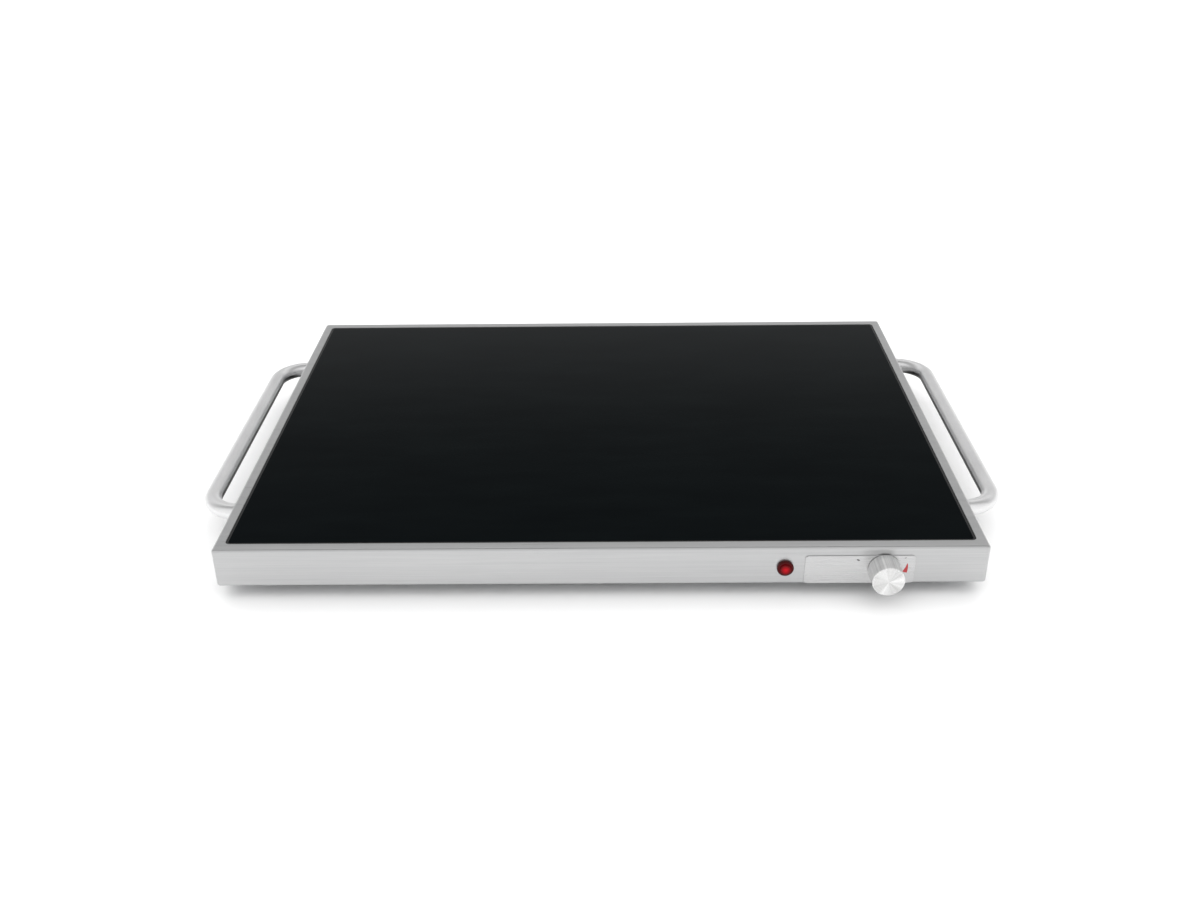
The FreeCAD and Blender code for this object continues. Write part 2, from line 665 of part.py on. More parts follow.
def make_base_plate():
    width = "tray_width - 2 * base_inset"
    depth = "tray_depth - 2 * base_inset"
    plate = slab(width, depth, "base_gauge", "corner_radius")
    tools = [rod("base_screw_diameter + 2 * screw_slack", "base_gauge", x, y)
             for x, y in base_screw_places()]
    tools += [rod("foot_screw_diameter + 2 * screw_slack", "base_gauge",
                  f"{a} * foot_x", f"{b} * foot_y") for a in (-1, 1) for b in (-1, 1)]
    slot_count = int(number("vent_count"))
    for a in (-1, 1):
        for b in (-1, 1):
            for slot in range(slot_count):
                shift = f"({slot} - (vent_count - 1) / 2) * vent_pitch"
                tools.append(block("vent_width", "vent_length", "base_gauge",
                                   f"{a} * vent_place + {shift}",
                                   f"{b} * (tray_depth / 2 - vent_inset)"))
    holes = doc.addObject("Part::Compound", "base_holes")
    holes.Links = tools
    stud = rod("foot_screw_diameter", "earth_stud_length", "earth_place",
               "tray_depth / 2 - earth_inset", "base_gauge")
    sub_part(join(cut(plate, holes), stud), "base_plate", 0, "tray_middle", "foot_height")


make_base_plate()


def pan_screw(diameter, length, head_diameter, head_height):
    """A pan-head screw standing on its head, its shank upwards and a cross in its head."""
    crown_share = 0.4
    arm_share = 0.62
    slot_share = 0.14
    sink_share = 0.55
    head = rounded(rod(head_diameter, head_height), f"{crown_share} * {head_height}", level(0))
    arm = f"{arm_share} * {head_diameter}"
    slot = f"{slot_share} * {head_diameter}"
    sink = f"{sink_share} * {head_height}"
    headed = cut(head, join(block(arm, slot, sink), block(slot, arm, sink)))
    return join(headed, rod(diameter, length, z=head_height))


base_screws = []
for place_x, place_y in base_screw_places():
    screw = pan_screw("base_screw_diameter", "base_screw_length", "base_head_diameter",
                      "base_head_height")
    base_screws.append(place(screw, place_x, f"tray_middle + {place_y}",
                             "foot_height - base_head_height"))
group(base_screws, "base_screws")


# Rubber feet, each held by a screw, a washer and a nut on the base plate.

def make_foot(label, x, y):
    """A tapered foot with a socket in its underside for the screw's head."""
    outer = rounded(taper("foot_base", "foot_top", "foot_height"), "foot_edge", level(0))
    socket = rod("foot_socket", "foot_height - foot_web")
    hole = rod("foot_screw_diameter + 2 * screw_slack", "foot_height")
    sub_part(cut(outer, socket, hole), label, x, y, 0)


foot_names = ["foot_front_left", "foot_rear_left", "foot_front_right", "foot_rear_right"]
foot_screws = []
foot_washers = []
foot_nuts = []
foot_seat = "foot_height - foot_web"
foot_shank = "washer_gauge + foot_web + base_gauge + foot_nut_height + foot_screw_spare"
for foot_name, (place_x, place_y) in zip(foot_names, four_corners("foot_x", "foot_y")):
    make_foot(foot_name, place_x, place_y)
    screw = pan_screw("foot_screw_diameter", foot_shank, "foot_head_diameter", "foot_head_height")
    foot_screws.append(place(screw, place_x, place_y,
                             f"{foot_seat} - washer_gauge - foot_head_height"))
    washer = cut(rod("foot_washer_diameter", "washer_gauge"),
                 rod("foot_screw_diameter + 2 * screw_slack", "washer_gauge"))
    foot_washers.append(place(washer, place_x, place_y, f"{foot_seat} - washer_gauge"))
    nut = cut(hexagon("foot_nut_flats", "foot_nut_height"),
              rod("foot_screw_diameter", "foot_nut_height"))
    foot_nuts.append(place(nut, place_x, place_y, "frame_bottom"))
group(foot_screws, "foot_screws")
group(foot_washers, "foot_washers")
group(foot_nuts, "foot_nuts")


# Side handles: a bent tube with two short legs. A threaded plug welded in the mouth of each leg has a
# rim that fills the bore and a barrel that clears the bend. The screws come from inside the frame.

def bent_tube(diameter):
    """The solid outline of the right handle, from the middle of its legs' ends."""
    leg = "handle_reach - handle_bend"
    half = "handle_spacing / 2"
    pieces = [rod(diameter, leg, 0, f"{end} * {half}", 0, "right") for end in (-1, 1)]
    pieces.append(rod(diameter, "handle_spacing - 2 * handle_bend", "handle_reach",
                      f"{half} - handle_bend", 0, "front"))
    for y, first_angle in ((f"handle_bend - {half}", -90), (f"{half} - handle_bend", 0)):
        bend = doc.addObject("Part::Torus", "bend")
        bend.Angle3 = 90
        bind(bend, Radius1="handle_bend", Radius2=f"({diameter}) / 2")
        pieces.append(place(bend, leg, y, turn=first_angle))
    return join(*pieces)


handle_plugs = []
handle_screws = []
handle_washers = []
for handle_side, handle_name in ((-1, "handle_left"), (1, "handle_right")):
    inner_diameter = "handle_diameter - 2 * handle_wall"
    sub_part(cut(bent_tube("handle_diameter"), bent_tube(inner_diameter)), handle_name,
             f"{handle_side} * side_face", "tray_middle", "handle_height",
             turn=0 if handle_side > 0 else 180)
    outward = "right" if handle_side > 0 else "left"
    for handle_end in (-1, 1):
        place_y = f"tray_middle + {handle_end} * handle_spacing / 2"
        plug = cut(join(rod(f"{inner_diameter} - 2 * plug_slack", "plug_rim"),
                        rod("plug_diameter", "plug_length")),
                   rod("handle_screw_diameter", "handle_screw_length"))
        handle_plugs.append(place(plug, f"{handle_side} * side_face", place_y, "handle_height",
                                  outward))
        inner_face = "(side_face - sheet_gauge - washer_gauge)"
        shank = "washer_gauge + sheet_gauge + handle_screw_length - screw_slack"
        screw = pan_screw("handle_screw_diameter", shank, "handle_head_diameter",
                          "handle_head_height")
        handle_screws.append(place(screw, f"{handle_side} * ({inner_face} - handle_head_height)",
                                   place_y, "handle_height", outward))
        washer = cut(rod("handle_washer_diameter", "washer_gauge"),
                     rod("handle_screw_diameter + 2 * screw_slack", "washer_gauge"))
        handle_washers.append(place(washer, f"{handle_side} * {inner_face}", place_y,
                                    "handle_height", outward))
group(handle_plugs, "handle_plugs")
group(handle_screws, "handle_screws")
group(handle_washers, "handle_washers")


# Control plate: thin brushed metal stuck to the apron, its own origin at its middle on the apron.

def make_control_plate():
    body = new_body("control_plate")
    pad(body, draw_rectangle(sketch_on(body, "XY_Plane"), "panel_width", "panel_height"),
        "panel_gauge")
    soften(body, "panel_corner", upright)
    soften(body, "panel_edge", level("panel_gauge"))
    hole = sketch_on(body, "XY_Plane", "knob_place - panel_place", "panel_drop - knob_drop")
    pocket(body, draw_circle(hole, "bush_hole"), "panel_gauge", backwards=True)
    sub_part(body, "control_plate", "panel_place", "front_face", "rim_top - panel_drop", "front")


make_control_plate()


# Knob and what turns with it. Their own origin is on the spindle's axis at the apron's outer face,
# with +Z towards the cook. The pointer and the spindle's flat are both at the top before the turn.

def make_knob():
    body = new_body("knob")
    length = "knob_reach - knob_back"
    pad(body, draw_circle(sketch_on(body, "XY_Plane", out="knob_back"), "knob_diameter"), length)
    dress(body, "PartDesign::Chamfer", "Size", "knob_bevel", level("knob_reach"))
    recess = sketch_on(body, "XY_Plane", out="knob_back")
    pocket(body, draw_circle(recess, "knob_recess_diameter"), "knob_recess_depth", backwards=True)
    bore = sketch_on(body, "XY_Plane", out="insert_back")
    pocket(body, draw_circle(bore, "insert_diameter"), "insert_length", backwards=True)
    groove = sketch_on(body, "XY_Plane", y="(knob_diameter - pointer_length) / 2",
                       out="knob_reach")
    pocket(body, draw_rectangle(groove, "pointer_width", "pointer_length"), "pointer_depth")
    return body


def on_spindle(thing, label):
    """Place a piece on the spindle's axis, turned to where the pointer rests."""
    sub_part(thing, label, "knob_place", "front_face", "knob_height", "front", "pointer_rest")


on_spindle(make_knob(), "knob")

flat_height = "(spindle_flat + spring_gauge + 2 * spindle_slack)"
spindle_tip = "(insert_back + spindle_flat_length)"
bore_width = "(spindle_diameter + 2 * spindle_slack)"
bore_length = "(spindle_flat_length + spring_spare)"
d_bore = cut(rod(bore_width, bore_length, z="insert_back"),
             block(bore_width, "spindle_diameter", bore_length,
                   y=f"{flat_height} + spindle_diameter / 2", z="insert_back"))
on_spindle(cut(rod("insert_diameter", "insert_length", z="insert_back"), d_bore), "knob_insert")

spring = block("spring_width", "spring_gauge", "spindle_flat_length - spring_spare",
               y="spindle_flat + spindle_slack + spring_gauge / 2", z="insert_back")
on_spindle(alone(spring), "knob_spring")

shaft = cut(rod("spindle_diameter", f"{spindle_tip} + collar_front", z="-collar_front"),
            block("spindle_diameter", "spindle_diameter", "spindle_flat_length",
                  y="spindle_flat + spindle_diameter / 2", z="insert_back"))
collar = rod("collar_diameter", "collar_length", z="-collar_front - collar_length")
screw_end = "(collar_front + collar_length + thread_length)"
thread = rod("thread_diameter", "thread_length", z=f"-{screw_end}")
on_spindle(join(shaft, collar, thread), "thermostat_spindle")


# Thermostat behind the apron. Same origin as the knob, not turned, so every z inside is negative.

def on_axis(thing, label):
    """Place a fixed thermostat piece on the spindle's axis."""
    sub_part(thing, label, "knob_place", "front_face", "knob_height", "front")


case_outer = block("case_width", "case_height", "case_length", z="-case_back")
case_inner = block("case_width - 2 * case_wall", "case_height - 2 * case_wall",
                   "case_length - case_front", z="-case_back")
bush = rod("bush_diameter", "bush_top + sheet_gauge + case_front", z="-sheet_gauge - case_front")
bush_bore = rod(bore_width, "bush_top + sheet_gauge + case_front",
                z="-sheet_gauge - case_front")
on_axis(cut(join(cut(case_outer, case_inner), bush), bush_bore), "thermostat_case")

on_axis(cut(hexagon("bush_nut_flats", "bush_nut_height", z="panel_gauge"),
            rod("bush_diameter", "bush_nut_height", z="panel_gauge")), "bush_nut")

nose_length = "(nose_tip - adjuster_place - adjuster_length)"
adjuster_back = "(adjuster_place + adjuster_length)"
adjuster_bore = "(thread_diameter + 2 * spindle_slack)"
nut_block = block("adjuster_width", "adjuster_width", "adjuster_length", z=f"-{adjuster_back}")
nose = rod("adjuster_nose", nose_length, z="-nose_tip")
nose_bore = rod(adjuster_bore, "nose_tip - nose_bottom - adjuster_place",
                z="nose_bottom - nose_tip")
on_axis(cut(join(nut_block, nose), nose_bore), "adjuster_nut")

capsule_front = "(ceramic_front - capsule_length)"
capsule = join(rod("capsule_diameter", "capsule_length", z="-ceramic_front"),
               rod("button_diameter", "button_length", z=f"-{capsule_front}"),
               rod("stem_diameter", "stem_back - ceramic_front", z="-stem_back"))
on_axis(capsule, "diaphragm_capsule")

leaf = join(block("leaf_gauge", "leaf_width", "leaf_length", "-leaf_place", 0, "-ceramic_front"),
            rod("contact_diameter", "contact_height", "-leaf_place - leaf_gauge / 2",
                0, "leaf_length - contact_diameter - ceramic_front", "left"))
on_axis(leaf, "contact_leaf")

tab_places = [("-tab_spread", "-live_tab_drop"), ("tab_spread", "switched_tab_rise")]


def thermostat_tab(x, y):
    """A flat terminal through the ceramic base."""
    return block("tab_gauge", "tab_width", "tab_back - ceramic_front", x, y, "-tab_back")


ceramic = join(block("case_width", "case_height", "ceramic_length", z="-ceramic_back"),
               block("case_width - 2 * case_wall - 2 * spigot_slack",
                     "case_height - 2 * case_wall - 2 * spigot_slack", "spigot_length",
                     z="-case_back"))
stem_hole = rod("stem_diameter", "ceramic_back", z="-ceramic_back")
on_axis(cut(ceramic, stem_hole, *[thermostat_tab(x, y) for x, y in tab_places]),
        "thermostat_base")

tabs = doc.addObject("Part::Compound", "thermostat_tabs")
tabs.Links = [thermostat_tab(x, y) for x, y in tab_places]
on_axis(tabs, "thermostat_tabs")


# Safety cut-out: a round switch screwed under the heated plate, with a tab on each side.

cutout_body = join(rod("cutout_diameter", "cutout_height", z="-cutout_height"),
                   block("cutout_flange_width", "cutout_diameter / 2", "cutout_flange",
                         z="-cutout_flange"))
sub_part(cutout_body, "thermal_cutout", "cutout_x", "cutout_y", "plate_under")
group([block("cutout_tab_length", "tab_width", "tab_gauge",
             f"cutout_x + {side} * (cutout_diameter + cutout_tab_length) / 2", "cutout_y",
             "cutout_tab_height - tab_gauge / 2") for side in (-1, 1)], "cutout_tabs")


# Indicator lamp. Its own origin is on its axis at the apron's outer face, +Z towards the cook.

def at_lamp(thing, label):
    """Place a piece on the lamp's axis."""
    sub_part(thing, label, "lamp_place", "front_face", "lamp_height", "front")


lens_flange = rounded(rod("lens_diameter", "lens_flange"), "lens_edge", level("lens_flange"))
lens_dome = rounded(taper("lens_shoulder", "lens_front", "lens_reach"), "lens_edge",
                    level("lens_reach"))
barrel = rod("barrel_diameter", "barrel_length", z="-barrel_length")
barrel_bore = rod("barrel_bore", "barrel_length + lens_reach - lens_face", z="-barrel_length")
at_lamp(cut(join(lens_flange, lens_dome, barrel), barrel_bore), "indicator_lens")

stem_width = "(barrel_bore - 2 * lamp_hole_slack)"
lamp_body = join(rod("barrel_diameter", "lamp_body_length", z="-lamp_back"),
                 rod(stem_width, "lamp_stem_length", z="-barrel_length"))
at_lamp(lamp_body, "indicator_body")

bulb_glass = rod("bulb_glass_diameter", "bulb_glass_length", z="lamp_stem_length - barrel_length")
bulb_glass = rounded(bulb_glass, "bulb_glass_diameter / 2.2",
                     level("lamp_stem_length - barrel_length + bulb_glass_length"))
at_lamp(bulb_glass, "neon_bulb")

at_lamp(cut(rod("lamp_nut_diameter", "lamp_nut_height", z="-sheet_gauge - lamp_nut_height"),
            rod("barrel_diameter", "lamp_nut_height", z="-sheet_gauge - lamp_nut_height")),
        "indicator_nut")


# Mains inlet in the rear apron. Its own origin is the socket's middle on the apron's outer face,
# with +Z out of the back and +X to the left of the tray.

def at_inlet(thing, label):
    """Place a piece of the inlet."""
    sub_part(thing, label, "inlet_place", "rear_face", "inlet_height", "rear")


blade_places = [("-blade_spread", "-blade_offset"), ("0", "blade_offset"),
                ("blade_spread", "-blade_offset")]
screw_places = ["-inlet_screw_spread", "inlet_screw_spread"]


def inlet_blade(x, y):
    """A flat pin with a tail for a wire."""
    length = "inlet_body_length + blade_tail + inlet_flange - blade_recess"
    return block("blade_gauge", "blade_height", length, x, y,
                 "-inlet_body_length - blade_tail")


def make_inlet():
    flange = rounded(slab("inlet_flange_width", "inlet_flange_height", "inlet_flange",
                          "socket_corner"), "inlet_edge", level("inlet_flange"))
    body = block("inlet_body_width", "inlet_body_height", "inlet_body_length",
                 z="-inlet_body_length")
    socket = slab("socket_width", "socket_height", "socket_depth", "socket_corner",
                  z="inlet_flange - socket_depth")
    tools = [socket]
    tools += [inlet_blade(x, y) for x, y in blade_places]
    for x in screw_places:
        tools.append(rod("inlet_screw_diameter + 2 * screw_slack", "inlet_flange", x))
        tools.append(countersink(x))
    at_inlet(cut(join(flange, body), *tools), "mains_inlet")


def countersink(x):
    """The tapered seat of an inlet screw's head."""
    return taper("inlet_screw_diameter", "inlet_head_diameter", "inlet_head_depth", x, 0,
                 "inlet_flange - inlet_head_depth")


make_inlet()
pins = doc.addObject("Part::Compound", "inlet_pins")
pins.Links = [inlet_blade(x, y) for x, y in blade_places]
at_inlet(pins, "inlet_pins")

inlet_screws = doc.addObject("Part::Compound", "inlet_screws")
shank_start = "inlet_flange - inlet_screw_length"
shank_length = "inlet_screw_length - inlet_head_depth"
inlet_screws.Links = [join(countersink(x),
                           rod("inlet_screw_diameter", shank_length, x, 0, shank_start))
                      for x in screw_places]
at_inlet(inlet_screws, "inlet_screws")

inlet_nuts = doc.addObject("Part::Compound", "inlet_nuts")
nut_under = "-sheet_gauge - inlet_nut_height"
inlet_nuts.Links = [cut(hexagon("inlet_nut_flats", "inlet_nut_height", x, 0, nut_under),
                        rod("inlet_screw_diameter", "inlet_nut_height", x, 0, nut_under))
                    for x in screw_places]
at_inlet(inlet_nuts, "inlet_nuts")


# Ring tag and nut on the base plate's earth stud.

tag = cut(join(rod("tag_width", "tag_gauge"),
               block("tag_length", "tag_width / 2", "tag_gauge", x="tag_length / 2")),
          rod("foot_screw_diameter", "tag_gauge"))
sub_part(tag, "earth_tag", "earth_place", "earth_y", "frame_bottom")
earth_nut = cut(hexagon("foot_nut_flats", "foot_nut_height"),
                rod("foot_screw_diameter", "foot_nut_height"))
sub_part(earth_nut, "earth_nut", "earth_place", "earth_y", "frame_bottom + tag_gauge")


# Wiring: each wire is straight runs joined by tangent arcs, between the pieces it connects.

def bent_path(points, radius):
    """Straight runs through the points, joined by tangent arcs as large as the runs allow."""
    edges = []
    last = points[0]
    for before, corner, after in zip(points, points[1:], points[2:]):
        arrive = (corner - before).normalize()
        leave = (after - corner).normalize()
        half_turn = arrive.getAngle(leave) / 2
        shorter = min((corner - before).Length, (after - corner).Length)
        bend = min(radius, 0.45 * shorter / math.tan(half_turn))
        setback = bend * math.tan(half_turn)
        inward = (leave - arrive).normalize()
        start = corner - arrive * setback
        end = corner + leave * setback
        middle = corner + inward * (bend / math.cos(half_turn) - bend)
        edges.append(Part.LineSegment(last, start).toShape())
        edges.append(Part.Arc(start, middle, end).toShape())
        last = end
    edges.append(Part.LineSegment(last, points[-1]).toShape())
    return Part.Wire(edges)


def wire(diameter, places):
    """One wire through written places."""
    points = [spot(*place_at) for place_at in places]
    return tube_along(bent_path(points, number("wire_bend")), number(diameter), "wire")


# Where the wires end, and the lanes that they follow beside and behind the heated plate.
live_tab = ("knob_place - tab_spread", "front_face + tab_back", "knob_height - live_tab_drop")
switched_tab = ("knob_place + tab_spread", "front_face + tab_back",
                "knob_height + switched_tab_rise")
blade_back = "rear_face - inlet_body_length - blade_tail"
live_blade = ("inlet_place + blade_spread", blade_back, "inlet_height - blade_offset")
neutral_blade = ("inlet_place - blade_spread", blade_back, "inlet_height - blade_offset")
earth_blade = ("inlet_place", blade_back, "inlet_height + blade_offset")
front_pin = ("pin_end", "first_run", "tube_height")
rear_pin = ("pin_end", "last_run", "tube_height")
front_lane = "(tray_middle - plate_depth / 2)"
rear_lane = "(tray_middle + plate_depth / 2)"
side_lane = "(plate_width / 2 + wire_lane)"
low_wire = "(frame_bottom + 7)"


def beside(point, x=0, y=0, z=0):
    """A place a little way from another."""
    return tuple(f"{at} + ({step})" for at, step in zip(point, (x, y, z)))


sub_part(wire("wire_diameter", [
    live_blade,
    beside(live_blade, y=-13),
    (f"{side_lane} + 12", f"{rear_lane} + 9", low_wire),
    (f"{side_lane} + 12", f"{front_lane} - 4", low_wire),
    beside(live_tab, y=16),
    live_tab,
]), "wire_live")
sub_part(wire("wire_diameter", [
    neutral_blade,
    beside(neutral_blade, y=-15),
    ("cutout_x - cutout_diameter - 14", "cutout_y + 10", "cutout_tab_height - 4"),
    ("cutout_x - cutout_diameter - 10", "cutout_y", "cutout_tab_height"),
    ("cutout_x - cutout_diameter / 2 - cutout_tab_length", "cutout_y", "cutout_tab_height"),
]), "wire_neutral")
sub_part(wire("wire_diameter", [
    ("cutout_x + cutout_diameter / 2 + cutout_tab_length", "cutout_y", "cutout_tab_height"),
    (f"{side_lane}", "cutout_y - 1", "cutout_tab_height"),
    beside(rear_pin, x=17),
    rear_pin,
]), "wire_cutout")
sub_part(wire("wire_diameter", [
    switched_tab,
    beside(switched_tab, y=11),
    (f"{side_lane} - 4", f"{front_lane} - 6", "switched_tab_rise + knob_height"),
    (f"{side_lane} + 1", f"{front_lane} + 15", "tube_height - 2"),
    beside(front_pin, x=17),
    front_pin,
]), "wire_switched")
sub_part(wire("wire_diameter", [
    earth_blade,
    beside(earth_blade, y=-9),
    beside(earth_blade, x=-17, y=-11, z=-1),
    ("earth_place + tag_length + 8", "earth_y", "frame_bottom + wire_diameter / 2"),
    ("earth_place + tag_length", "earth_y", "frame_bottom + wire_diameter / 2"),
]), "wire_earth")

lamp_rear = ("lamp_place", "front_face + lamp_back", "lamp_height")
lamp_lead_live = wire("lead_diameter", [
    beside(lamp_rear, x=2),
    beside(lamp_rear, x=2, y=15),
    beside(switched_tab, x=-15, y=-4),
    beside(switched_tab, x="-tab_gauge / 2 - joint_gap", y=-4),
])
lamp_lead_neutral = wire("lead_diameter", [
    beside(lamp_rear, x=-2),
    beside(lamp_rear, x=-2, y=18),
    beside(lamp_rear, x=6, y=30, z=-11),
    (f"{side_lane} + 6", f"{front_lane} - 5", "frame_bottom + 3"),
    (f"{side_lane} + 6", "last_run - 45", "frame_bottom + 8"),
    ("pin_end - 4", "last_run - 22", "tube_height"),
    ("pin_end - 4", "last_run - pin_diameter / 2 - joint_gap", "tube_height"),
])
group([lamp_lead_live, lamp_lead_neutral], "lamp_leads")

capillary_start = ("knob_place", "front_face + stem_back", "knob_height")
sub_part(wire("capillary_diameter", [
    capillary_start,
    beside(capillary_start, y=9),
    ("bulb_end + 35", f"{front_lane} + 5", "under_tube"),
    ("bulb_end + 28", "sensor_row - 14", "under_tube"),
    ("bulb_end + 15", "sensor_row", "bulb_height"),
    ("bulb_end", "sensor_row", "bulb_height"),
]), "capillary_tube")


def check_and_write():
    """Stop on any failed object, then write each sub-part to its own file."""
    doc.recompute()
    for thing in doc.Objects:
        if "Invalid" in thing.State or "Error" in thing.State:
            raise ValueError(f"{thing.Label} failed: {thing.State}")
    labels = [thing.Label for thing in SUB_PARTS]
    if len(set(labels)) != len(labels):
        raise ValueError("two sub-parts share a label")
    os.makedirs("parts", exist_ok=True)
    for thing in SUB_PARTS:
        shape = thing.Shape
        if shape.isNull() or not shape.isValid() or not shape.Solids:
            raise ValueError(f"{thing.Label} has no valid solid")
        shape.exportStep(f"parts/{thing.Label}.step")
    print(len(SUB_PARTS), "sub-parts")


check_and_write()
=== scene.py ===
import json
import math

import bmesh
import bpy
from mathutils import Matrix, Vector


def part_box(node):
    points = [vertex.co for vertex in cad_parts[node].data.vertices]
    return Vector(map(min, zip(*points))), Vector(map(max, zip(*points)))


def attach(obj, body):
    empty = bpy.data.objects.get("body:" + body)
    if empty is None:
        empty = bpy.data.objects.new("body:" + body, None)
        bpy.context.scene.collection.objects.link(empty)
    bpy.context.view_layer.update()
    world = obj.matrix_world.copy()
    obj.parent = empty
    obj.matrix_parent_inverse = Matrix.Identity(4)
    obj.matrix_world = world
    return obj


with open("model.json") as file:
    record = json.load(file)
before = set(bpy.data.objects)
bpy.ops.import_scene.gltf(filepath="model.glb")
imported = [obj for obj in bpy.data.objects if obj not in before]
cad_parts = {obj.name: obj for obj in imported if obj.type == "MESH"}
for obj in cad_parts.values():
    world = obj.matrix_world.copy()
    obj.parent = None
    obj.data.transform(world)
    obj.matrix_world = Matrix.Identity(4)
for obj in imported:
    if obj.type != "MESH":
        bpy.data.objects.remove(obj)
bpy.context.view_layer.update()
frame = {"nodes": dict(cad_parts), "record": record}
nodes = frame["nodes"]


# Housing frame: one stainless sheet folded down into an apron on each side, welded at the corners
# and brushed along its length. It is the shell that every other piece is fixed to.

def new_finish(name, colour, roughness, metallic=0.0, also=None):
    """A finish and its shader. Values that are the same all over go straight on the shader."""
    finish = bpy.data.materials.new(name)
    finish.use_nodes = True
    shader = finish.node_tree.nodes["Principled BSDF"]
    shader.inputs["Base Color"].default_value = (*colour, 1)
    shader.inputs["Roughness"].default_value = roughness
    shader.inputs["Metallic"].default_value = metallic
    for socket, value in (also or {}).items():
        shader.inputs[socket].default_value = value
    return finish, shader


def stage_in(finish, kind, sockets=None, **choices):
    """One more node of a finish or the sky: its choices, and its sockets' values or feeds."""
    node = finish.node_tree.nodes.new("ShaderNode" + kind)
    for choice, value in choices.items():
        setattr(node, choice, value)
    for socket, value in (sockets or {}).items():
        if isinstance(value, bpy.types.NodeSocket):
            finish.node_tree.links.new(value, node.inputs[socket])
        else:
            node.inputs[socket].default_value = value
    return node


def feed(finish, source, shader, socket):
    """Let a node's output drive one of the shader's sockets."""
    finish.node_tree.links.new(source, shader.inputs[socket])


def position(finish):
    """Where a point lies in the tray's own frame, in metres."""
    return stage_in(finish, "TexCoord").outputs["Object"]


def facing(finish):
    """Which way the surface faces at a point."""
    return stage_in(finish, "TexCoord").outputs["Normal"]


def grain(finish, where, size, detail=3.0, rough=0.6):
    """Cloudy values from 0 to 1 whose features are as long as `size` along X, Y and Z."""
    spread = stage_in(finish, "VectorMath", {0: where, 1: [1 / s for s in size]},
                      operation="MULTIPLY")
    noise = stage_in(finish, "TexNoise", {"Vector": spread.outputs[0], "Scale": 1.0,
                                          "Detail": detail, "Roughness": rough})
    return noise.outputs["Fac"]


def between(finish, value, low, high, start=0.3, stop=0.7):
    """Values spread between two numbers."""
    made = stage_in(finish, "MapRange", {"Value": value, "From Min": start, "From Max": stop,
                                         "To Min": low, "To Max": high})
    return made.outputs["Result"]


def tint(finish, value, dark, light, start=0.3, stop=0.7):
    """Colours spread between two."""
    ramp = stage_in(finish, "ValToRGB", {"Fac": value})
    ramp.color_ramp.elements[0].position = start
    ramp.color_ramp.elements[0].color = (*dark, 1)
    ramp.color_ramp.elements[1].position = stop
    ramp.color_ramp.elements[1].color = (*light, 1)
    return ramp.outputs["Color"]


def relief(finish, shader, height, depth, strength=1.0):
    """Raise and sink the surface by a height field as deep as `depth` in metres."""
    bump = stage_in(finish, "Bump", {"Height": height, "Distance": depth, "Strength": strength})
    feed(finish, bump.outputs["Normal"], shader, "Normal")


def blended(finish, first, second, share=0.5):
    """A blend of two values."""
    return stage_in(finish, "Mix", {0: share, 2: first, 3: second}).outputs[0]


def blended_colour(finish, first, second, share):
    """A blend of two colours."""
    return stage_in(finish, "Mix", {0: share, 6: first, 7: second}, data_type="RGBA").outputs[2]


def wear(node, finish):
    """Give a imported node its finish."""
    nodes[node].data.materials.clear()
    nodes[node].data.materials.append(finish)


def brushed_sheet():
    """Stainless sheet whose brush marks run along X, and along Y on the two side aprons."""
    finish, shader = new_finish("brushed_stainless", (0.52, 0.52, 0.52), 0.33, 1.0,
                                {"Anisotropic": 0.55})
    where = position(finish)
    across = stage_in(finish, "SeparateXYZ", {0: facing(finish)}).outputs["X"]
    side = stage_in(finish, "Math", {0: across}, operation="ABSOLUTE").outputs[0]
    sideways = 0.7
    on_side = stage_in(finish, "Math", {0: side, 1: sideways}, operation="GREATER_THAN").outputs[0]
    apart = stage_in(finish, "SeparateXYZ", {0: where}).outputs
    turned = stage_in(finish, "CombineXYZ", {"X": apart["Y"], "Y": apart["X"], "Z": apart["Z"]})
    along = stage_in(finish, "Mix", {0: on_side, 4: where, 5: turned.outputs[0]},
                     data_type="VECTOR").outputs[1]
    fine = grain(finish, along, (0.06, 0.0005, 0.0005), 4.0)
    broad = grain(finish, along, (0.25, 0.004, 0.004), 3.0)
    marks = blended(finish, fine, broad, 0.4)
    cloud = grain(finish, where, (0.09, 0.09, 0.09), 2.0)
    feed(finish, tint(finish, marks, (0.44, 0.445, 0.45), (0.54, 0.54, 0.54)), shader, "Base Color")
    worn = stage_in(finish, "Math", {0: between(finish, marks, 0.26, 0.38),
                                     1: between(finish, cloud, -0.02, 0.03)}, operation="ADD")
    feed(finish, worn.outputs[0], shader, "Roughness")
    relief(finish, shader, marks, 0.00002, 0.6)
    tangent = stage_in(finish, "Tangent", direction_type="RADIAL", axis="X")
    feed(finish, tangent.outputs[0], shader, "Tangent")
    return finish


brushed = brushed_sheet()
wear("housing_frame", brushed)
wear("glass_ledge", brushed)


# Glass plate: black glass ceramic, fire-polished on top, with a ground edge. It lies in a bead of
# silicone on the ledge, a little below the rim.

def black_glass():
    """Black glass with a faint orange peel and a few wiped marks."""
    finish, shader = new_finish("black_glass", (0.0007, 0.0014, 0.0018), 0.10, 0.0,
                                {"Specular IOR Level": 0.035, "Specular Tint": (0.75, 0.95, 1.0, 1)})
    where = position(finish)
    peel = grain(finish, where, (0.004, 0.004, 0.004), 2.0)
    wiped = grain(finish, where, (0.10, 0.03, 0.05), 3.0)
    feed(finish, tint(finish, wiped, (0.0005, 0.0012, 0.0016), (0.0010, 0.0020, 0.0024)), shader,
         "Base Color")
    feed(finish, between(finish, wiped, 0.08, 0.13), shader, "Roughness")
    relief(finish, shader, peel, 0.00001, 0.4)
    return finish


wear("glass_top", black_glass())


